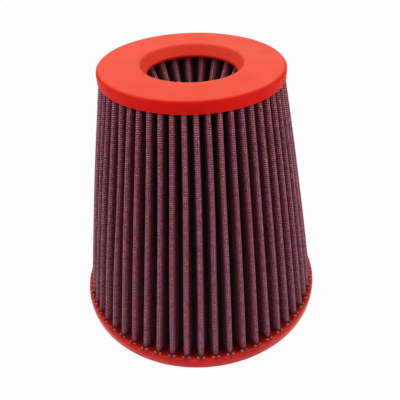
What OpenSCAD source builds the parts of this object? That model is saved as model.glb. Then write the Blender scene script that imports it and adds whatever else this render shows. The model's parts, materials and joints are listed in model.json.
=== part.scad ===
// Twin-cone air filter: an outer pleated cone and an inverted pleated cone inside it,
// held between a moulded top cap with an inlet mouth and a moulded base cap with the outlet.
// The axis is Z, the base cap's underside lies on Z = 0, and the foot of a pleat faces -Y.

/* [Overall] */
// Height from the underside of the base cap to the top face
filter_h = 203.5; // [160:0.5:240]

/* [Top cap] */
// Outside diameter of the top cap
top_cap_d = 130; // [126:1:138]
// Thickness of the top cap
top_cap_h = 8.5; // [6:0.5:12]
// Radius of the top cap's outer upper edge
top_cap_edge_r = 2.6; // [1:0.2:4]
// Radius of the top cap's outer lower edge
top_cap_foot_r = 0.6; // [0.2:0.1:0.8]
// Width of the top cap's ring around the inlet throat
top_ring_w = 33.5; // [29:0.5:38]
// Distance that the inlet mouth flares out from the throat to the top face
inlet_flare = 4.7; // [2:0.1:8]
// Length of the straight wall in the inlet throat
inlet_land = 1.6; // [1:0.2:4]
// Radius of the edge between the mouth and the top face
inlet_edge_r = 2.4; // [0.6:0.2:3]

/* [Base cap] */
// Outside diameter of the base cap
base_cap_d = 206; // [198:0.5:220]
// Thickness of the base cap
base_cap_h = 8; // [7:0.5:14]
// Radius of the base cap's outer upper edge
base_cap_edge_r = 2.8; // [1:0.2:3]
// Radius of the base cap's outer lower edge
base_cap_foot_r = 1; // [0.4:0.1:2]
// Width of the base cap's ring around the outlet
base_ring_w = 25; // [18:0.5:34]
// Radius of the outlet's lower edge
outlet_edge_r = 1.5; // [0.5:0.1:2.5]
// Width of the ledge that the base cap leaves outside the pleats
base_ledge = 2.8; // [2.6:0.2:6]

/* [Pleated media] */
// Thickness of the folded cotton gauze
gauze_t = 1; // [0.6:0.1:1.2]
// Thickness of the coated wire screen on the gauze
screen_t = 0.4; // [0.2:0.05:0.5]
// Corners along the curve of each fold
fold_points = 4; // [3:1:5]

/* [Outer cone] */
// Number of pleats in the outer cone
outer_pleats = 55; // [40:1:58]
// Depth of the outer pleats from fold to fold
outer_depth = 12.5; // [8:0.1:16]
// Radius at the middle of the sheet in the outer folds, at their lower ends
outer_low_fold_r = 1.2; // [0.9:0.05:1.5]
// Radius at the middle of the sheet in the outer folds, at their upper ends
outer_high_fold_r = 0.9; // [0.85:0.05:1.1]
// Distance from the rim of the top cap in to the pleats
top_overhang = 0.8; // [0.6:0.1:1.5]
// Lean of the outer pleats: the turn from their lower to their upper ends, in degrees
outer_lean = 2.9; // [0:0.1:5]

/* [Inner cone] */
// Number of pleats in the inner cone
inner_pleats = 24; // [16:1:26]
// Depth of the inner pleats from fold to fold
inner_depth = 9; // [6:0.1:11]
// Radius at the middle of the sheet in the inner folds
inner_fold_r = 0.95; // [0.9:0.01:1.1]
// Distance between the outer and the inner pleats under the top cap
cone_gap = 2.1; // [0.5:0.1:6]
// Height of the inner cone under the top cap
inner_h = 55; // [40:1:60]
// Radius of the space that the inner pleats leave at their lower end
inner_end_r = 14.2; // [13.8:0.1:18]
// Turn of the inner pleats about the axis, in degrees
inner_turn = 6.4; // [0:0.1:15]

/* [Inner cone plug] */
// Thickness of the plug that closes the inner cone
plug_h = 6; // [4:0.5:10]
// Width of the rim that the plug leaves outside the pleats
plug_rim = 2; // [1.8:0.1:4]
// Radius of the plug's edges
plug_edge_r = 1.5; // [0.5:0.1:1.8]

/* [Hidden] */
$fn = 96;

cap_red = [0.87, 0.16, 0.10];
resin_red = [0.62, 0.10, 0.10];
gauze_red = [0.45, 0.10, 0.20];
screen_red = [0.55, 0.30, 0.36];

// The sheet is a gauze with a screen on the side that the air comes from.
sheet_t = gauze_t + screen_t;
skin = sheet_t / 2;
seam = skin - screen_t;

// Levels
cap_z = filter_h - top_cap_h;
inner_z = cap_z - inner_h;
land_top = cap_z + inlet_land;

// Radii over the folds of both cones, and of the two openings
outer_top_r = top_cap_d / 2 - top_overhang;
outer_base_r = base_cap_d / 2 - base_ledge;
inner_top_r = outer_top_r - outer_depth - cone_gap;
inner_end_out_r = inner_end_r + inner_depth;
inlet_r = top_cap_d / 2 - top_ring_w;
outlet_r = base_cap_d / 2 - base_ring_w;
plug_r = inner_end_out_r + plug_rim;

half_inner = 180 / inner_pleats;

function polar(r, a) = [r * cos(a), r * sin(a)];
function angle_of(v) = atan2(v[1], v[0]);

// Points around one fold, from angle a to angle b about the fold's centre.
function fold(centre, r, a, b) =
    [for (i = [0:fold_points - 1]) centre + polar(r, a + (b - a) * i / (fold_points - 1))];

// Outline of a pleated sheet between two circles, at the distance shift from the middle of the sheet.
// Outward and inward folds are arcs about centres on the two circles. The flat stretch between
// them is the line that touches both arcs from opposite sides, so its two ends turn by the same
// angle, and every shift gives an outline parallel to the others.
function pleat_outline(pleats, out_r, in_r, fold_r, shift, turn) =
    let (half = 180 / pleats,
         tip_r = out_r - fold_r - skin,
         root_r = in_r + fold_r + skin,
         run = polar(root_r, half) - polar(tip_r, 0),
         normal = angle_of(run) - acos(2 * fold_r / norm(run)))
    [for (k = [0:pleats - 1])
        let (a = turn + 2 * half * k,
             b = a + half)
        each concat(
            fold(polar(tip_r, a), fold_r + shift, a - normal, a + normal),
            fold(polar(root_r, b), fold_r - shift,
                 b + 180 + normal - half, b + 180 - normal + half))];

// Closed band between two shifts of the same pleated sheet, lofted from its low to its high end.
// Each end is a list: the radius over the folds, the level, the turn about the axis and the
// radius of the folds.
module pleated_band(pleats, low_end, high_end, depth, shift_in, shift_out) {
    rings = [
        for (end = [low_end, high_end], shift = [shift_out, shift_in])
            [for (p = pleat_outline(pleats, end[0], end[0] - depth, end[3], shift, end[2]))
                [p[0], p[1], end[1]]]
    ];
    n = len(rings[0]);
    low_out = 0;
    low_in = n;
    high_out = 2 * n;
    high_in = 3 * n;
    polyhedron(
        points = [for (ring = rings) each ring],
        faces = [for (i = [0:n - 1])
            let (j = (i + 1) % n)
            each [
                [low_out + i, high_out + j, low_out + j],
                [low_out + i, high_out + i, high_out + j],
                [low_in + i, low_in + j, high_in + j],
                [low_in + i, high_in + j, high_in + i],
                [low_out + i, low_out + j, low_in + j],
                [low_out + i, low_in + j, low_in + i],
                [high_out + i, high_in + j, high_out + j],
                [high_out + i, high_in + i, high_in + j]
            ]],
        convexity = 10
    );
}

module outer_band(shift_in, shift_out) {
    pleated_band(outer_pleats,
                 [outer_base_r, base_cap_h, -90, outer_low_fold_r],
                 [outer_top_r, cap_z, outer_lean - 90, outer_high_fold_r],
                 outer_depth, shift_in, shift_out);
}

module inner_band(shift_in, shift_out) {
    turn = inner_turn + half_inner;
    pleated_band(inner_pleats,
                 [inner_end_out_r, inner_z, turn, inner_fold_r],
                 [inner_top_r, cap_z, turn, inner_fold_r],
                 inner_depth, shift_in, shift_out);
}

// Half section of a disc with a rounded upper and lower outer edge.
module disc_section(r, h, upper_r, lower_r) {
    square([r - max(upper_r, lower_r), h]);
    translate([0, lower_r]) square([r, h - upper_r - lower_r]);
    translate([0, lower_r]) square([r - upper_r, h - lower_r]);
    square([r - lower_r, h - upper_r]);
    translate([r - upper_r, h - upper_r]) circle(upper_r);
    translate([r - lower_r, lower_r]) circle(lower_r);
}

// Section that is cut away for the inlet: a straight throat, a flared mouth and the corner
// outside the rounded edge at the top face.
module inlet_section() {
    mouth = [inlet_r + inlet_flare, filter_h];
    flare = atan2(filter_h - land_top, inlet_flare);
    reach = inlet_edge_r * tan(flare / 2);
    translate([0, cap_z - 1]) square([inlet_r, inlet_land + 1]);
    difference() {
        polygon([
            [0, land_top],
            [inlet_r, land_top],
            mouth - polar(reach, flare),
            mouth + [reach, 0],
            mouth + [reach, 1],
            [0, filter_h + 1]
        ]);
        translate(mouth + [reach, -inlet_edge_r]) circle(inlet_edge_r);
    }
}

// Section that is cut away for the outlet, with the corner outside its rounded lower edge.
module outlet_section() {
    translate([0, -1]) square([outlet_r, base_cap_h + 2]);
    difference() {
        translate([0, -1]) square([outlet_r + outlet_edge_r, outlet_edge_r + 1]);
        translate([outlet_r + outlet_edge_r, outlet_edge_r]) circle(outlet_edge_r);
    }
}

module top_cap() {
    color(cap_red)
    rotate_extrude()
    difference() {
        translate([0, cap_z]) disc_section(top_cap_d / 2, top_cap_h, top_cap_edge_r, top_cap_foot_r);
        inlet_section();
    }
}

module base_cap() {
    color(resin_red)
    rotate_extrude()
    difference() {
        disc_section(base_cap_d / 2, base_cap_h, base_cap_edge_r, base_cap_foot_r);
        outlet_section();
    }
}

module outer_gauze() {
    color(gauze_red) outer_band(-skin, seam);
}

module outer_screen() {
    color(screen_red) outer_band(seam, skin);
}

module inner_cone_gauze() {
    color(gauze_red) inner_band(-seam, skin);
}

module inner_cone_screen() {
    color(screen_red) inner_band(-skin, -seam);
}

module inner_cone_plug() {
    color(cap_red)
    rotate_extrude()
    translate([0, inner_z - plug_h]) disc_section(plug_r, plug_h, plug_edge_r, plug_edge_r);
}

top_cap();
base_cap();
outer_gauze();
outer_screen();
inner_cone_gauze();
inner_cone_screen();
inner_cone_plug();
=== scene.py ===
import json
from math import cos, pi, radians, sin, tau

import bpy
import numpy as np
from mathutils import Matrix, Vector


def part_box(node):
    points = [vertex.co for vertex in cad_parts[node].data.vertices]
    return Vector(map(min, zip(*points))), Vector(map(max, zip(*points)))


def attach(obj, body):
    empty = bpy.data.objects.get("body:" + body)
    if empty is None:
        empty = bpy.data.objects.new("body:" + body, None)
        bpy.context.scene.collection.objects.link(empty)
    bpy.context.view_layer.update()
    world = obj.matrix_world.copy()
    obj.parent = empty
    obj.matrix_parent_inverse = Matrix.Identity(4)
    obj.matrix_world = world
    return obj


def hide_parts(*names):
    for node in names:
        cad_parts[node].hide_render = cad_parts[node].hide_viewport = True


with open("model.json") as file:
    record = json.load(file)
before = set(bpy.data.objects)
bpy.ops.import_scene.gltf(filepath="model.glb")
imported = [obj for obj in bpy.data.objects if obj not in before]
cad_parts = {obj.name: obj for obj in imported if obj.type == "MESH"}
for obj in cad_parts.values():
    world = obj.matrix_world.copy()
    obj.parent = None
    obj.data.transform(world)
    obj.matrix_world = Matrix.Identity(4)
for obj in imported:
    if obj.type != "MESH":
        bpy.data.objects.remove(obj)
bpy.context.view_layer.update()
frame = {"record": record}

mm = 0.001
body = "root"


# Sizes of the CAD pieces, which every piece below is fitted to

def nodeSpan(node):
    # radius and the two levels of a node that stands about the Z axis
    low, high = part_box(node)
    return {"radius": (high.x - low.x) / 2, "low": low.z, "high": high.z}


mountRadius = {m["name"]: m["dims"].get("r_mm", 0) * mm for m in frame["record"]["mounts"]}
topCapSpan = nodeSpan("top_cap")
baseCapSpan = nodeSpan("base_cap")
plugSpan = nodeSpan("inner_cone_plug")

scale = {
    "topRadius": topCapSpan["radius"],
    "baseRadius": baseCapSpan["radius"],
    "pleatRadius": -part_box("outer_screen")[0].y,
    "inletRadius": mountRadius["inlet"],
    "outletRadius": mountRadius["outlet"],
    "baseTop": baseCapSpan["high"],
    "capUnder": topCapSpan["low"],
    "capTop": topCapSpan["high"],
    "plugTop": plugSpan["high"],
}


# Helpers for numpy surfaces

def meshFromGrid(name, points, uv=None, closeRows=False, smooth=True):
    # points is a grid of rows by columns. Columns always close on themselves, rows only where asked.
    rows, columns, _ = points.shape
    rowCount = rows if closeRows else rows - 1
    r, c = np.meshgrid(np.arange(rowCount), np.arange(columns), indexing="ij")
    r2 = (r + 1) % rows
    c2 = (c + 1) % columns
    corners = np.stack([r * columns + c, r * columns + c2, r2 * columns + c2, r2 * columns + c], -1)
    mesh = meshFromQuads(name, points.reshape(-1, 3), corners.reshape(-1, 4), smooth)
    if uv is not None:
        u, v = uv
        wrapped = np.stack([u[r, c], u[r, c + 1], u[r2, c + 1], u[r2, c]], -1)
        risen = np.stack([v[r, c], v[r, c + 1], v[r2, c + 1], v[r2, c]], -1)
        addUv(mesh, wrapped, risen)
    return mesh


def meshFromQuads(name, vertices, quads, smooth=True):
    mesh = bpy.data.meshes.new(name)
    mesh.vertices.add(len(vertices))
    mesh.vertices.foreach_set("co", np.asarray(vertices, np.float32).ravel())
    mesh.loops.add(quads.size)
    mesh.loops.foreach_set("vertex_index", quads.astype(np.int32).ravel())
    mesh.polygons.add(len(quads))
    mesh.polygons.foreach_set("loop_start", np.arange(0, quads.size, 4, dtype=np.int32))
    mesh.polygons.foreach_set("use_smooth", np.full(len(quads), smooth))
    mesh.update(calc_edges=True)
    mesh.validate()
    return mesh


def addUv(mesh, u, v):
    layer = mesh.uv_layers.new(name="weave")
    layer.uv.foreach_set("vector", np.stack([u.ravel(), v.ravel()], -1).astype(np.float32).ravel())


def addShare(mesh, name, share):
    # a number from 0 to 1 at each point, which the finishes read by its name
    layer = mesh.attributes.new(name, "FLOAT", "POINT")
    layer.data.foreach_set("value", np.asarray(share, np.float32).ravel())


def addPiece(mesh, node, material):
    piece = bpy.data.objects.new(mesh.name, mesh)
    bpy.context.scene.collection.objects.link(piece)
    piece.data.materials.append(material)
    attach(piece, body)
    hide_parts(node)
    return piece


def roundedSection(corners, step, arcSteps=8):
    # Closed outline in the (radius, height) plane. Each corner is (radius, height, rounding). A rounding is an
    # arc tangent to both sides, and straight runs are split into pieces no longer than step.
    count = len(corners)
    xy = np.array([c[:2] for c in corners], float)
    outline = []
    for i in range(count):
        here, before, after = xy[i], xy[i - 1], xy[(i + 1) % count]
        rounding = corners[i][2]
        toBefore = (before - here) / np.linalg.norm(before - here)
        toAfter = (after - here) / np.linalg.norm(after - here)
        half = np.arccos(np.clip(toBefore @ toAfter, -1, 1)) / 2
        reach = rounding / np.tan(half)
        start = here + toBefore * reach
        end = here + toAfter * reach
        bisector = (toBefore + toAfter) / np.linalg.norm(toBefore + toAfter)
        centre = here + bisector * rounding / np.sin(half)
        if outline:
            last = outline[-1]
            pieces = max(1, int(np.ceil(np.linalg.norm(start - last) / step)))
            for t in range(1, pieces):
                outline.append(last + (start - last) * t / pieces)
        if rounding:
            a0 = np.arctan2(*(start - centre)[::-1])
            a1 = np.arctan2(*(end - centre)[::-1])
            turn = (a1 - a0 + pi) % tau - pi
            for t in np.linspace(0, 1, arcSteps):
                angle = a0 + turn * t
                outline.append(centre + rounding * np.array([cos(angle), sin(angle)]))
        else:
            outline.append(here)
    last, first = outline[-1], outline[0]
    pieces = max(1, int(np.ceil(np.linalg.norm(first - last) / step)))
    for t in range(1, pieces):
        outline.append(last + (first - last) * t / pieces)
    return np.array(outline)


def revolve(name, outline, angles, lift=None):
    # Lathe about Z: every outline point is turned through all angles. lift(radius, angle, height) moves a
    # point along its outline's normal.
    ahead = np.roll(outline, -1, 0) - np.roll(outline, 1, 0)
    normal = np.stack([ahead[:, 1], -ahead[:, 0]], -1)
    normal /= np.linalg.norm(normal, axis=1)[:, None]
    radius = outline[:, 0][:, None] + 0 * angles[None]
    height = outline[:, 1][:, None] + 0 * angles[None]
    if lift is not None:
        move = lift(radius, angles[None] + 0 * radius, height, normal[:, 1][:, None])
        radius = radius + normal[:, 0][:, None] * move
        height = height + normal[:, 1][:, None] * move
    points = np.stack([radius * np.cos(angles), radius * np.sin(angles), height], -1)
    return meshFromGrid(name, points, closeRows=True)


# Pleated sheets

media = {
    "gauze": 1.0 * mm,         # thickness of the folded gauze
    "screen": 0.4 * mm,        # thickness of the wire screen on it
    "foldPoints": 8,
    "legPoints": 3,            # points on the flat between two folds
}
skin = (media["gauze"] + media["screen"]) / 2
seam = skin - media["screen"]

outerCone = {
    "pleats": 55,
    "depth": 12.5 * mm,
    "lowFold": 1.2 * mm,       # radius of the middle of the sheet in a fold, at both ends
    "highFold": 0.9 * mm,
    "lowRadius": scale["pleatRadius"],
    "highRadius": scale["topRadius"] - 0.8 * mm,
    "low": scale["baseTop"],
    "high": scale["capUnder"],
    "turn": -pi / 2,
    "lean": radians(2.9),      # turn from the lower to the upper ends of the pleats
    "bow": 0.9 * mm,           # how far the middle of the pack swells
    "wander": 0.28 * mm,       # how far a fold strays sideways from its even place
    "levels": 36,
    "seed": 7,
    "seenFromInside": False,
    "shadeGain": 0.7,          # of the shade in the gaps from the base to the top, where the gaps are narrow
    "lowDarkeningHeight": 2.6 * mm,    # how far up the folds the colour darkens towards the base
}

innerCone = {
    "pleats": 24,
    "depth": 9.0 * mm,
    "lowFold": 0.95 * mm,
    "highFold": 0.95 * mm,
    "lowRadius": 23.2 * mm,
    "highRadius": 49.6 * mm,
    "low": scale["plugTop"],
    "high": scale["capUnder"],
    "turn": radians(13.9),
    "lean": 0.0,
    "bow": 0.0,
    "wander": 0.22 * mm,
    "levels": 20,
    "seed": 11,
    "seenFromInside": True,
    "shadeGain": 0.0,
    "lowDarkeningHeight": 1.0 * mm,
}


def slowNoise(rng, count, rise):
    # Two half waves along the height for each fold, zero at both ends where the sheet is potted
    first = rng.normal(0, 1, count)
    second = rng.normal(0, 0.6, count)
    return np.sin(pi * rise)[:, None] * first + np.sin(tau * rise)[:, None] * second


def wrapAngle(a):
    return (a + pi) % tau - pi


def pleatGrid(cone, shift):
    # Outlines at every level: outward and inward folds are arcs about centres on two circles, joined by the
    # line that touches both from opposite sides. Returns points of levels by columns, and the way along the sheet.
    rng = np.random.default_rng(cone["seed"])
    pleats = cone["pleats"]
    rise = np.linspace(0, 1, cone["levels"])
    outer = cone["lowRadius"] + (cone["highRadius"] - cone["lowRadius"]) * rise
    outer = outer + cone["bow"] * 4 * rise * (1 - rise)
    fold = cone["lowFold"] + (cone["highFold"] - cone["lowFold"]) * rise
    margin = fold + skin
    tipRadius = (outer - margin)[:, None] + slowNoise(rng, pleats, rise) * cone["wander"] * 0.5
    rootRadius = (outer - cone["depth"] + margin)[:, None] + 0 * tipRadius
    fold = fold[:, None]
    tipAngle = cone["turn"] + tau * np.arange(pleats) / pleats + cone["lean"] * rise[:, None]
    rootAngle = tipAngle + pi / pleats
    tipAngle = tipAngle + slowNoise(rng, pleats, rise) * cone["wander"] / tipRadius
    rootAngle = rootAngle + slowNoise(rng, pleats, rise) * cone["wander"] * 0.6 / rootRadius

    def centre(radius, angle):
        return np.stack([radius * np.cos(angle), radius * np.sin(angle)], -1)

    tip = centre(tipRadius, tipAngle)
    root = centre(rootRadius, rootAngle)
    before = np.roll(root, 1, axis=1)

    def legNormal(run, side):
        reach = np.arccos(2 * fold / np.linalg.norm(run, axis=-1))
        return np.arctan2(run[..., 1], run[..., 0]) - side * reach

    leaving = legNormal(root - tip, 1)        # normal of the flat that leaves the outward fold
    arriving = legNormal(before - tip, -1)    # normal of the flat that arrives at it
    nextArriving = np.roll(arriving, -1, axis=1)

    def arc(middle, radius, start, end, facing):
        a = wrapAngle(start - facing)
        b = wrapAngle(end - facing)
        t = np.linspace(0, 1, media["foldPoints"])
        angle = facing[..., None] + a[..., None] * (1 - t) + b[..., None] * t
        return middle[..., None, :] + radius[..., None, None] * np.stack([np.cos(angle), np.sin(angle)], -1)

    outward = arc(tip, fold + shift, arriving, leaving, tipAngle)
    inward = arc(root, fold - shift, leaving + pi, nextArriving + pi, rootAngle + pi)
    following = np.roll(outward, -1, axis=1)

    def leg(a, b):
        t = np.linspace(0, 1, media["legPoints"] + 2)[1:-1][:, None]
        return a[..., None, :] * (1 - t) + b[..., None, :] * t

    loop = np.concatenate([
        outward, leg(outward[..., -1, :], inward[..., 0, :]),
        inward, leg(inward[..., -1, :], following[..., 0, :])], axis=2)
    levels, _, perPleat, _ = loop.shape
    flat = loop.reshape(levels, -1, 2)
    height = cone["low"] + (cone["high"] - cone["low"]) * rise
    points = np.concatenate([flat, np.broadcast_to(height[:, None, None], flat.shape[:2] + (1,))], -1)
    return points, pleats, perPleat


def weaveCoordinates(cone, points, pleats, perPleat):
    # u runs along the folded sheet and v up the cone, both in millimetres, with the same length in each pleat
    # so that the wires follow the folds
    step = np.linalg.norm(np.diff(points, axis=1, append=points[:, :1]), axis=-1)
    length = step.reshape(len(points), pleats, perPleat)
    along = np.cumsum(length, -1) - length
    share = along / length.sum(-1, keepdims=True)
    each = length.sum(-1).mean()
    u = (share + np.arange(pleats)[None, :, None]) * each
    u = np.concatenate([u.reshape(len(points), -1), np.full((len(points), 1), pleats * each)], 1)
    slope = (cone["highRadius"] - cone["lowRadius"]) / (cone["high"] - cone["low"])
    v = (points[:, :1, 2] - cone["low"]) * np.sqrt(1 + slope ** 2) + 0 * u
    return u / mm, v / mm


def pleatedPiece(name, cone, shiftIn, shiftOut):
    # Closed shell between two parallel shifts of the sheet: up the outside and down the inside
    outside, pleats, perPleat = pleatGrid(cone, shiftOut)
    inside, _, _ = pleatGrid(cone, shiftIn)
    u, v = weaveCoordinates(cone, outside, pleats, perPleat)
    points = np.concatenate([outside, inside[::-1]], 0)
    u = np.concatenate([u, u[::-1]], 0)
    v = np.concatenate([v, v[::-1]], 0)
    mesh = meshFromGrid(name, points, uv=(u, v), closeRows=True)
    # share of the way from the seen folds to the hidden ones, for the shade that the finish takes in the gaps
    radius = np.linalg.norm(points[..., :2], axis=-1)
    outermost = radius.max(1, keepdims=True)
    inward = (outermost - radius) / (outermost - radius.min(1, keepdims=True))
    rise = (points[..., 2] - cone["low"]) / (cone["high"] - cone["low"])
    inward = inward * (1 + cone["shadeGain"] * rise)
    addShare(mesh, "depth", 1 - inward if cone["seenFromInside"] else inward)
    tone = np.random.default_rng(cone["seed"] + 1).random(pleats)
    addShare(mesh, "tone", np.tile(np.repeat(tone, perPleat), len(points)))
    addShare(mesh, "lowDarkening", np.exp(-((points[..., 2] - cone["low"]) / cone["lowDarkeningHeight"]) ** 2))
    return mesh


# Material helpers

class Shader:
    # Short names for the nodes that the materials and the world below are made of
    def __init__(self, tree):
        self.tree = tree
        self.bsdf = tree.nodes.get("Principled BSDF")

    def node(self, kind, **values):
        made = self.tree.nodes.new(kind)
        for key, value in values.items():
            setattr(made, key, value)
        return made

    def link(self, source, target):
        self.tree.links.new(source, target)
        return target

    def math(self, operation, a, b=None, clamp=False):
        made = self.node("ShaderNodeMath", operation=operation, use_clamp=clamp)
        for slot, value in enumerate((a, b)):
            if value is None:
                continue
            if isinstance(value, (int, float)):
                made.inputs[slot].default_value = value
            else:
                self.link(value, made.inputs[slot])
        return made.outputs[0]

    def mixColour(self, factor, a, b):
        made = self.node("ShaderNodeMix", data_type="RGBA")
        if isinstance(factor, (int, float)):
            made.inputs[0].default_value = factor
        else:
            self.link(factor, made.inputs[0])
        for slot, value in ((6, a), (7, b)):
            if isinstance(value, tuple):
                made.inputs[slot].default_value = value + (1,)
            else:
                self.link(value, made.inputs[slot])
        return made.outputs[2]

    def darken(self, colour, factor, least):
        # multiplies a colour by 1 where factor is 0 and by least, a number or a colour, where it is 1
        least = least if isinstance(least, tuple) else (least, least, least)
        grey = self.mixColour(factor, (1.0, 1.0, 1.0), least)
        made = self.node("ShaderNodeMix", data_type="RGBA", blend_type="MULTIPLY")
        made.inputs[0].default_value = 1.0
        self.link(colour, made.inputs[6])
        self.link(grey, made.inputs[7])
        return made.outputs[2]

    def share(self, name):
        return self.node("ShaderNodeAttribute", attribute_name=name).outputs["Fac"]

    def objectPlace(self):
        return self.node("ShaderNodeTexCoord").outputs["Object"]

    def noise(self, place, size, detail=3.0, roughness=0.5):
        made = self.node("ShaderNodeTexNoise")
        made.inputs["Scale"].default_value = size
        made.inputs["Detail"].default_value = detail
        made.inputs["Roughness"].default_value = roughness
        self.link(place, made.inputs["Vector"])
        return made.outputs[0]

    def spread(self, value, low, high, toLow=0.0, toHigh=1.0):
        made = self.node("ShaderNodeMapRange")
        self.link(value, made.inputs[0])
        for slot, number in zip((1, 2, 3, 4), (low, high, toLow, toHigh)):
            made.inputs[slot].default_value = number
        return made.outputs[0]

    def bump(self, height, distance, strength=1.0, normal=None):
        made = self.node("ShaderNodeBump")
        made.inputs["Strength"].default_value = strength
        made.inputs["Distance"].default_value = distance
        self.link(height, made.inputs["Height"])
        if normal is not None:
            self.link(normal, made.inputs["Normal"])
        self.link(made.outputs[0], self.bsdf.inputs["Normal"])
        return made.outputs[0]


def newMaterial(name):
    material = bpy.data.materials.new(name)
    material.use_nodes = True
    return material, Shader(material.node_tree)


def linear(red, green, blue):
    # sRGB values from 0 to 255 as linear light
    value = np.array([red, green, blue]) / 255
    light = np.where(value <= 0.04045, value / 12.92, ((value + 0.055) / 1.055) ** 2.4)
    return tuple(float(x) for x in light)


capFinish = {
    "side": linear(230, 16, 2),
    "face": linear(245, 80, 54),      # painted light: the upward faces are given a paler colour, as if lit from above, and are more matt
    "rimTurn": (0.72, 0.995),         # upward part of the normal over which the colour changes at the rim
    "boreTurn": (-0.05, 1.0),         # and in the mouth
    "mottle": 0.94,
    "mottleSize": 38.0,
    "roughness": 0.55,
    "roughnessSize": 70.0,
    "specular": 0.10,
    "grain": 0.05 * mm,
    "grainSize": 900.0,
}
baseFinish = {
    "colour": linear(224, 17, 12),
    "deep": linear(200, 9, 7),
    "cloudSize": 55.0,
    "roughness": 0.12,
    "betweenPleatsRoughness": 1.0,
    "specular": 0.22,
    "shade": (0.08, 0.025, 0.02),     # painted shade of the resin between the pleats
    "footDarkening": linear(98, 20, 9),       # darker brown round the feet of the pleats
    "wave": 0.2 * mm,
    "waveSize": 120.0,
    # painted highlights: pale glints on small bumps beside the foot of each pleat
    "glintBead": linear(244, 110, 92),
    "beadAway": 3.0 * mm,             # from the middle of the fold
    "beadTurn": 0.82,                 # about it
    "beadSpread": 0.48,               # share of the way round the fold that counts in a bead's length
    "beadSize": 0.9 * mm,
    "beadRise": 0.35 * mm,
    "beadChange": 260.0,              # size of the noise that makes the beads unequal
    "beadBelow": 3.0 * mm,            # lowest level of a bead under the base cap's top
}
screenFinish = {
    "wire": linear(255, 196, 234),
    "tint": linear(255, 206, 206),    # where the coat is more yellow
    "tintSize": 150.0,
    "upright": (0.80, 0.52, 0.56),    # painted shade on the wires that run up the folds, against the crossing ones
    "gauze": linear(128, 18, 42),
    "threadSize": 1500.0,
    "shadeStart": 0.06,        # share of a fold's depth where the painted shade of the gap begins
    "shadeEnd": 0.40,
    "shade": (0.42, 0.17, 0.20),
    "deepStart": 0.36,         # and where it turns from burgundy to a dull black
    "deepEnd": 0.95,
    "deep": linear(34, 20, 18),
    "pitchAlong": 1.30,        # millimetres between wires that run up the folds
    "pitchUp": 1.48,           # millimetres between wires that cross them
    "wireRadius": 0.27,
    "wireRoughness": 0.42,
    "clothRoughness": 0.85,
    "specular": 0.17,
    "rise": 0.12 * mm,
    "uneven": 0.48,            # least brightness of one cell of the weave against the next
    "blotch": (0.82, 0.64, 0.68),     # and in the darker patches
    "blotchSize": 420.0,
    "tone": 0.84,              # and of one whole fold against the next
    "lowDarkColour": linear(96, 20, 16),
}
# The inner cone's screen is painted lighter than the outer one's, because its bands came out darker than the
# photograph's under these lamps
innerScreenFinish = dict(screenFinish, wireRadius=0.38, upright=(1.0, 0.72, 0.77), uneven=0.7,
                         blotch=(0.95, 0.85, 0.87), shadeStart=0.05, shadeEnd=0.36, deepStart=0.3, deepEnd=0.8)
gauzeFinish = {
    "colour": linear(112, 30, 52),
    "dark": linear(84, 18, 36),
    "blotchSize": 60.0,
    "thread": 0.55,            # millimetres between threads
    "roughness": 0.8,
    "sheen": 0.15,
    "rise": 0.12 * mm,
}


def mouldedRubber(name, finish):
    material, s = newMaterial(name)
    place = s.objectPlace()
    parts = s.node("ShaderNodeSeparateXYZ")
    s.link(s.node("ShaderNodeTexCoord").outputs["Normal"], parts.inputs[0])
    # painted light: the colour turns from the side's to the paler face's as the normal turns upward, at the rim
    # and in the mouth
    rim = s.mixColour(s.spread(parts.outputs[2], *finish["rimTurn"]), finish["side"], finish["face"])
    bore = s.mixColour(s.spread(parts.outputs[2], *finish["boreTurn"]), finish["side"], finish["face"])
    colour = s.mixColour(s.share("bore"), rim, bore)
    blotches = s.spread(s.noise(place, finish["mottleSize"]), 0.35, 0.65)
    s.link(s.darken(colour, blotches, finish["mottle"]), s.bsdf.inputs["Base Color"])
    patches = s.noise(place, finish["roughnessSize"], 2.0)
    s.link(s.spread(patches, 0.3, 0.7, finish["roughness"] - 0.05, finish["roughness"] + 0.06),
           s.bsdf.inputs["Roughness"])
    s.bsdf.inputs["Specular IOR Level"].default_value = finish["specular"]
    s.bump(s.noise(place, finish["grainSize"], 2.0), finish["grain"], 0.35)
    return material


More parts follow.
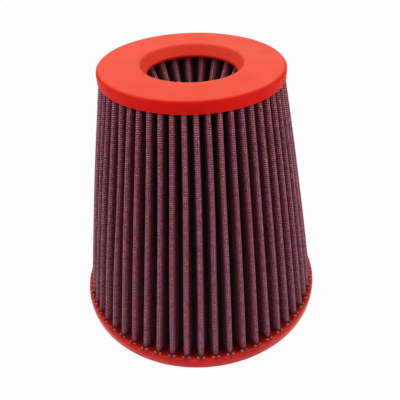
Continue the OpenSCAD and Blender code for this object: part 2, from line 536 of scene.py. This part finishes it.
def glossyResin(name, finish):
    material, s = newMaterial(name)
    place = s.objectPlace()
    clouds = s.noise(place, finish["cloudSize"])
    colour = s.mixColour(s.spread(clouds, 0.35, 0.65), finish["colour"], finish["deep"])
    parts = s.node("ShaderNodeSeparateXYZ")
    s.link(place, parts.inputs[0])
    x, y, z = parts.outputs

    def length(a, b):
        return s.math("SQRT", s.math("ADD", s.math("MULTIPLY", a, a), s.math("MULTIPLY", b, b)))

    # place of a point beside and outside the centre of the nearest fold, then its way from the bead, which lies on
    # a ring about that centre
    pleats = outerCone["pleats"]
    radius = length(x, y)
    turns = s.math("MULTIPLY", s.math("ARCTAN2", x, s.math("MULTIPLY", y, -1.0)), pleats / tau)
    fromFoot = s.math("ABSOLUTE", s.math("SUBTRACT", s.math("FRACT", s.math("ADD", turns, 0.5)), 0.5))
    aside = s.math("MULTIPLY", s.math("MULTIPLY", fromFoot, tau / pleats), radius)
    out = s.math("SUBTRACT", radius, outerCone["lowRadius"] - outerCone["lowFold"] - skin)
    offRing = s.math("SUBTRACT", length(aside, out), finish["beadAway"])
    turned = s.math("SUBTRACT", s.math("ARCTAN2", aside, out), finish["beadTurn"])
    onRing = s.math("MULTIPLY", turned, finish["beadSpread"] * finish["beadAway"])
    size = s.spread(s.noise(place, finish["beadChange"], 1.0), 0.35, 0.65, 0.55, 1.0)
    away = s.math("DIVIDE", length(offRing, onRing), size)
    onTop = s.math("GREATER_THAN", z, scale["baseTop"] - finish["beadBelow"])
    glintBead = s.math("MULTIPLY", s.spread(away, finish["beadSize"], 0.35 * finish["beadSize"]), onTop)
    # the colour is darker brown round the foot of each pleat
    shaded = s.mixColour(s.share("footDarkening"), s.darken(colour, s.share("depth"), finish["shade"]), finish["footDarkening"])
    # painted highlight: the small bumps beside each foot take the pale glint colour
    s.link(s.mixColour(glintBead, shaded, finish["glintBead"]), s.bsdf.inputs["Base Color"])
    s.link(s.spread(s.share("depth"), 0.0, 0.6, finish["roughness"], finish["betweenPleatsRoughness"]),
           s.bsdf.inputs["Roughness"])
    s.bsdf.inputs["Specular IOR Level"].default_value = finish["specular"]
    wavy = s.bump(s.noise(place, finish["waveSize"], 2.0), finish["wave"], 0.4)
    s.bump(glintBead, finish["beadRise"], 1.0, wavy)
    return material


def wireScreen(name, finish):
    # Plain weave on the piece's own map: each wire is a round ridge that rises over every other crossing wire
    material, s = newMaterial(name)
    flat = s.node("ShaderNodeUVMap", uv_map="weave").outputs[0]
    place = s.objectPlace()
    parts = s.node("ShaderNodeSeparateXYZ")
    s.link(flat, parts.inputs[0])
    along = s.math("DIVIDE", parts.outputs[0], finish["pitchAlong"])
    up = s.math("DIVIDE", parts.outputs[1], finish["pitchUp"])

    def ridge(value, pitch):
        offset = s.math("ABSOLUTE", s.math("SUBTRACT", s.math("FRACT", value), 0.5))
        ratio = s.math("MULTIPLY", offset, pitch / finish["wireRadius"])
        return s.math("SQRT", s.math("SUBTRACT", 1.0, s.math("POWER", ratio, 2.0), clamp=True))

    def sign(value):
        return s.math("SINE", s.math("MULTIPLY", s.math("ADD", s.math("FLOOR", value), 0.5), pi))

    def wave(value):
        return s.math("SINE", s.math("MULTIPLY", value, pi))

    upright = ridge(along, finish["pitchAlong"])
    across = ridge(up, finish["pitchUp"])
    over = s.math("MULTIPLY", wave(up), sign(along))
    under = s.math("MULTIPLY", s.math("MULTIPLY", wave(along), sign(up)), -1.0)
    uprightTop = s.math("MULTIPLY", upright, s.math("ADD", s.math("MULTIPLY", over, 0.35), 0.65))
    acrossTop = s.math("MULTIPLY", across, s.math("ADD", s.math("MULTIPLY", under, 0.35), 0.65))
    top = s.math("MAXIMUM", uprightTop, acrossTop)
    wire = s.math("GREATER_THAN", top, 0.08)
    runsUp = s.math("GREATER_THAN", uprightTop, acrossTop)
    threads = s.noise(place, finish["threadSize"], 2.0)
    cloth = s.mixColour(s.spread(threads, 0.3, 0.7), finish["gauze"], gauzeFinish["dark"])
    yellowed = s.spread(s.noise(place, finish["tintSize"], 2.0), 0.42, 0.62)
    coat = s.mixColour(yellowed, finish["wire"], finish["tint"])
    metal = s.mixColour(s.spread(top, 0.1, 1.0), finish["gauze"], coat)
    cell = s.node("ShaderNodeCombineXYZ")
    for i, value in enumerate((along, up)):
        s.link(s.math("FLOOR", value), cell.inputs[i])
    chance = s.node("ShaderNodeTexWhiteNoise", noise_dimensions="2D")
    s.link(cell.outputs[0], chance.inputs["Vector"])
    metal = s.darken(metal, chance.outputs["Value"], finish["uneven"])
    patches = s.noise(place, finish["blotchSize"], 1.0)
    metal = s.darken(metal, s.spread(patches, 0.38, 0.62), finish["blotch"])
    metal = s.darken(metal, s.share("tone"), finish["tone"])
    # painted shade: the wires that run up the folds are darker than the ones that cross them
    metal = s.darken(metal, runsUp, finish["upright"])
    # the colour darkens towards the base at the lowest part of the folds
    colour = s.mixColour(s.share("lowDarkening"), s.mixColour(wire, cloth, metal), finish["lowDarkColour"])
    gap = s.spread(s.share("depth"), finish["shadeStart"], finish["shadeEnd"])
    deep = s.spread(s.share("depth"), finish["deepStart"], finish["deepEnd"])
    s.link(s.mixColour(deep, s.darken(colour, gap, finish["shade"]), finish["deep"]), s.bsdf.inputs["Base Color"])
    bare = s.spread(wire, 0.0, 1.0, finish["clothRoughness"], finish["wireRoughness"])
    s.link(s.math("MAXIMUM", bare, gap), s.bsdf.inputs["Roughness"])
    s.bsdf.inputs["Specular IOR Level"].default_value = finish["specular"]
    s.bump(top, finish["rise"])
    return material


def oiledGauze(name, finish):
    material, s = newMaterial(name)
    flat = s.node("ShaderNodeUVMap", uv_map="weave").outputs[0]
    place = s.objectPlace()
    parts = s.node("ShaderNodeSeparateXYZ")
    s.link(flat, parts.inputs[0])
    crossing = [s.math("SINE", s.math("MULTIPLY", way, tau / finish["thread"])) for way in parts.outputs[:2]]
    weave = s.math("MAXIMUM", crossing[0], crossing[1])
    blotches = s.noise(place, finish["blotchSize"])
    colour = s.mixColour(s.spread(blotches, 0.35, 0.65), finish["colour"], finish["dark"])
    s.link(s.mixColour(s.spread(weave, -1.0, 1.0), finish["dark"], colour), s.bsdf.inputs["Base Color"])
    s.bsdf.inputs["Roughness"].default_value = finish["roughness"]
    s.bsdf.inputs["Sheen Weight"].default_value = finish["sheen"]
    s.bump(weave, finish["rise"], 0.8)
    return material


# Caps and plug

topCap = {
    "edgeRounding": 2.6 * mm,
    "footRounding": 0.6 * mm,
    "mouthRadius": 36.2 * mm,
    "mouthRounding": 2.4 * mm,
    "landLength": 1.6 * mm,
    "landRounding": 0.8 * mm,
    "step": 0.6 * mm,
    "boreReach": 4.0 * mm,     # outside the mouth, where the colour of the mouth ends
    "segments": 512,
    # moulded dimples: angle in degrees, radius, distance below the top face, reach and depth
    "dimples": [
        {"angle": 94.5, "radius": 34.0 * mm, "below": 3.8 * mm, "reach": 1.1 * mm, "depth": 0.45 * mm},
        {"angle": -7.7, "radius": 42.6 * mm, "below": 0.0, "reach": 1.3 * mm, "depth": 0.35 * mm},
    ],
}

baseCap = {
    "edgeRounding": 2.8 * mm,
    "footRounding": 1.0 * mm,
    "outletRounding": 1.5 * mm,
    "innerRounding": 1.0 * mm,
    "meniscusHeight": 2.2 * mm,
    "meniscusReach": 1.7 * mm,
    "shadeStart": 1.75 * mm,   # outside the folds
    "shadeWidth": 3.0 * mm,
    "footDarkeningReach": 1.7 * mm,    # of the darker brown round the foot of each pleat
    "footDarkeningDepth": 2.0 * mm,    # inside the folds' outer ends, where it stops
    "stepsPerPleat": 22,
    "radialStep": 0.5 * mm,
    "coarseStep": 3.0 * mm,    # away from the pleats
    "topDepth": 2.0 * mm,      # under the top, down to which the resin and its finish reach
}


def makeTopCap(material):
    under, top = scale["capUnder"], scale["capTop"]
    land = under + topCap["landLength"]
    outline = roundedSection([
        (scale["inletRadius"], under, 0.0),
        (scale["topRadius"], under, topCap["footRounding"]),
        (scale["topRadius"], top, topCap["edgeRounding"]),
        (topCap["mouthRadius"], top, topCap["mouthRounding"]),
        (scale["inletRadius"], land, topCap["landRounding"]),
    ], topCap["step"])
    angles = np.arange(topCap["segments"]) * tau / topCap["segments"]

    def dimpled(radius, angle, height, facing):
        move = 0 * radius
        for spot in topCap["dimples"]:
            across = radius * wrapAngle(angle - radians(spot["angle"]))
            down = np.hypot(radius - spot["radius"], height - top + spot["below"])
            move = move - spot["depth"] * np.exp(-(across ** 2 + down ** 2) / spot["reach"] ** 2)
        return move

    mesh = revolve("topCap", outline, angles, dimpled)
    inBore = outline[:, :1] < topCap["mouthRadius"] + topCap["boreReach"]
    addShare(mesh, "bore", inBore + 0 * angles[None])
    return addPiece(mesh, "top_cap", material)


def pleatDistance(cone, radius, angle):
    # Distance from points on the base to the nearest pleat wall, worked out in one pleat and used for all
    even = dict(cone, levels=2, wander=0.0, bow=0.0)
    points, pleats, perPleat = pleatGrid(even, skin)
    window = np.concatenate([points[0, -perPleat:], points[0, :2 * perPleat]])[:, :2]
    local = (angle - cone["turn"] + 0.5 * tau / pleats) % (tau / pleats) - 0.5 * tau / pleats + cone["turn"]
    spots = np.stack([radius * np.cos(local), radius * np.sin(local)], -1)
    a, b = window[:-1], window[1:]
    run = b - a
    away = spots[..., None, :] - a
    t = np.clip((away * run).sum(-1) / ((run ** 2).sum(-1) + 1e-18), 0, 1)
    return np.linalg.norm(away - t[..., None] * run, axis=-1).min(-1)


def makeBaseCap(material):
    top = scale["baseTop"]
    outline = roundedSection([
        (scale["outletRadius"], 0.0, baseCap["outletRounding"]),
        (scale["baseRadius"], 0.0, baseCap["footRounding"]),
        (scale["baseRadius"], top, baseCap["edgeRounding"]),
        (scale["outletRadius"], top, baseCap["innerRounding"]),
    ], baseCap["coarseStep"])
    inTop = outline[:, 1] > top - 0.01 * mm
    highest = outline[inTop, 0]
    inside = outerCone["lowRadius"] - outerCone["depth"] - 1 * mm
    fine = np.concatenate([np.arange(highest.max(), inside, -baseCap["radialStep"]),
                           np.arange(inside, highest.min(), -baseCap["coarseStep"])])
    first = np.argmax(inTop)
    last = len(inTop) - np.argmax(inTop[::-1])
    outline = np.concatenate([outline[:first], np.stack([fine, np.full_like(fine, top)], -1), outline[last:]])
    count = outerCone["pleats"] * baseCap["stepsPerPleat"]
    angles = np.arange(count) * tau / count

    radius = outline[:, 0][:, None] + 0 * angles[None]
    perPleat = baseCap["stepsPerPleat"]
    near = pleatDistance(outerCone, radius[:, :perPleat], angles[None, :perPleat] + 0 * radius[:, :perPleat])
    near = np.tile(near, (1, outerCone["pleats"]))
    onTop = (outline[:, 1] > top - baseCap["topDepth"])[:, None]

    def meniscus(radius, angle, height, facing):
        level = np.clip((facing - 0.45) / 0.45, 0, 1) * onTop
        return baseCap["meniscusHeight"] * np.exp(-near / baseCap["meniscusReach"]) * level

    mesh = revolve("baseCap", outline, angles, meniscus)
    past = np.maximum(outerCone["lowRadius"] + baseCap["shadeStart"] - radius, 0)
    inward = 1 - np.exp(-past / baseCap["shadeWidth"])
    addShare(mesh, "depth", inward * onTop)
    atFoot = radius > outerCone["lowRadius"] - baseCap["footDarkeningDepth"]
    addShare(mesh, "footDarkening", np.exp(-(near / baseCap["footDarkeningReach"]) ** 4) * atFoot * onTop)
    return addPiece(mesh, "base_cap", material)


plug = {
    "rounding": 1.5 * mm,
    "step": 2.0 * mm,
    "segments": 192,
}


def makePlug(material):
    radius, low, high = plugSpan["radius"], plugSpan["low"], plugSpan["high"]
    outline = roundedSection([
        (0.01 * mm, low, 0.0),
        (0.1 * mm, low, 0.0),
        (radius, low, plug["rounding"]),
        (radius, high, plug["rounding"]),
        (0.1 * mm, high, 0.0),
        (0.01 * mm, high, 0.0),
    ], plug["step"])
    angles = np.arange(plug["segments"]) * tau / plug["segments"]
    return addPiece(revolve("innerConePlug", outline, angles), "inner_cone_plug", material)


# Camera, from the fit that holds the optical axis at the photograph's mid height. Other fits differ.

view = {
    "distance": 311.3 * mm,    # from the filter's axis
    "height": 317.1 * mm,
    "side": 0.0367,            # how far round the axis it stands from -Y
    "pitch": 0.6428,
    "yaw": 0.0208,
    "roll": -0.0131,
    "focalPixels": 462.8,
    "centreColumn": 219.8,     # of the optical axis: the photograph is cropped a little off its middle
    "frame": 400,
}


def makeCamera():
    data = bpy.data.cameras.new("camera")
    data.sensor_width = 36.0
    data.lens = view["focalPixels"] / view["frame"] * data.sensor_width
    data.shift_x = 0.5 - view["centreColumn"] / view["frame"]
    camera = bpy.data.objects.new("camera", data)
    bpy.context.scene.collection.objects.link(camera)
    level = cos(view["pitch"])
    ahead = Vector((sin(view["yaw"]) * level, cos(view["yaw"]) * level, -sin(view["pitch"])))
    right = ahead.cross(Vector((0, 0, 1))).normalized()
    up = right.cross(ahead)
    c, s = cos(view["roll"]), sin(view["roll"])
    across = c * right + s * up
    above = c * up - s * right
    turned = Matrix((across, above, -ahead)).transposed().to_4x4()
    place = Vector((view["distance"] * sin(view["side"]), -view["distance"] * cos(view["side"]), view["height"]))
    camera.matrix_world = Matrix.Translation(place) @ turned
    bpy.context.scene.camera = camera
    return camera


# Light and floor

light = {
    "world": 0.31,
    "target": (0, 0, 0.1),
    "floorColour": (0.95, 0.95, 0.95, 1),
    "floorRoughness": 0.9,
    "floorWhite": 0.94,        # share of plain white that the camera and reflections see in the floor
    "floorReach": 4.0,
    "floorDrop": 0.2 * mm,
    "lamps": [
        {"name": "leftTopLamp", "place": (-0.55, -0.05, 1.05), "size": 0.24, "power": 2.7},
        {"name": "rightTopLamp", "place": (0.60, 0.0, 1.02), "size": 0.24, "power": 2.55},
        {"name": "backLamp", "place": (0.0, 1.0, 0.98), "size": 1.0, "power": 2.9},
        {"name": "frontLamp", "place": (0.0, -1.1, 1.05), "size": 0.4, "power": 2.0},
        {"name": "leftLamp", "place": (-1.0, -0.1, 0.55), "size": 0.7, "power": 2.1},
        {"name": "rightLamp", "place": (1.0, -0.3, 0.45), "size": 0.7, "power": 2.1},
    ],
}


def areaLamp(name, place, target, size, power):
    data = bpy.data.lights.new(name, "AREA")
    data.shape = "SQUARE"
    data.size = size
    data.energy = power
    lamp = bpy.data.objects.new(name, data)
    bpy.context.scene.collection.objects.link(lamp)
    lamp.location = place
    lamp.rotation_euler = (Vector(place) - Vector(target)).to_track_quat("Z", "Y").to_euler()
    return lamp


def seenRay(s):
    # 1 for the rays that show the background: from the camera, and in reflections
    path = s.node("ShaderNodeLightPath")
    seen = s.math("MAXIMUM", path.outputs["Is Camera Ray"], path.outputs["Is Glossy Ray"])
    return s.math("MAXIMUM", seen, path.outputs["Is Transmission Ray"])


def makeLight():
    for lamp in light["lamps"]:
        areaLamp(lamp["name"], lamp["place"], light["target"], lamp["size"], lamp["power"])
    world = bpy.data.worlds.new("studio")
    bpy.context.scene.world = world
    world.use_nodes = True
    tree = world.node_tree
    s = Shader(tree)
    surround = tree.nodes["Background"]
    surround.inputs[1].default_value = light["world"]
    white = s.node("ShaderNodeBackground")
    for shade in (surround, white):
        shade.inputs[0].default_value = (1, 1, 1, 1)
    mix = s.node("ShaderNodeMixShader")
    s.link(seenRay(s), mix.inputs[0])
    s.link(surround.outputs[0], mix.inputs[1])
    s.link(white.outputs[0], mix.inputs[2])
    s.link(mix.outputs[0], tree.nodes["World Output"].inputs[0])


def makeFloor():
    # The floor is white to the camera and in reflections, and keeps a share of its own lit face with the shadow
    material, s = newMaterial("floor")
    s.bsdf.inputs["Base Color"].default_value = light["floorColour"]
    s.bsdf.inputs["Roughness"].default_value = light["floorRoughness"]
    white = s.node("ShaderNodeEmission")
    white.inputs[0].default_value = (1, 1, 1, 1)
    white.inputs[1].default_value = 1.0
    mix = s.node("ShaderNodeMixShader")
    s.link(s.math("MULTIPLY", seenRay(s), light["floorWhite"]), mix.inputs[0])
    s.link(s.bsdf.outputs[0], mix.inputs[1])
    s.link(white.outputs[0], mix.inputs[2])
    s.link(mix.outputs[0], s.tree.nodes["Material Output"].inputs[0])
    mesh = bpy.data.meshes.new("floor")
    reach = light["floorReach"]
    corners = [(-reach, -reach, 0), (reach, -reach, 0), (reach, reach, 0), (-reach, reach, 0)]
    mesh.from_pydata(corners, [], [(0, 1, 2, 3)])
    floor = bpy.data.objects.new("floor", mesh)
    bpy.context.scene.collection.objects.link(floor)
    floor.location.z = -light["floorDrop"]
    mesh.materials.append(material)


makeCamera()
makeLight()
makeFloor()
print("camera, light and floor are in place")

capRubber = mouldedRubber("capRubber", capFinish)
baseResin = glossyResin("baseResin", baseFinish)
screenWire = wireScreen("screenWire", screenFinish)
innerScreenWire = wireScreen("innerScreenWire", innerScreenFinish)
redGauze = oiledGauze("redGauze", gauzeFinish)
print("materials are made")

makeTopCap(capRubber)
makeBaseCap(baseResin)
makePlug(capRubber)
print("caps and plug are made")

addPiece(pleatedPiece("outerScreen", outerCone, seam, skin), "outer_screen", screenWire)
addPiece(pleatedPiece("outerGauze", outerCone, -skin, seam), "outer_gauze", redGauze)
addPiece(pleatedPiece("innerConeScreen", innerCone, -skin, -seam), "inner_cone_screen", innerScreenWire)
addPiece(pleatedPiece("innerConeGauze", innerCone, -seam, skin), "inner_cone_gauze", redGauze)
print("pleated cones are made")

bpy.context.scene.view_settings.view_transform = "Standard"
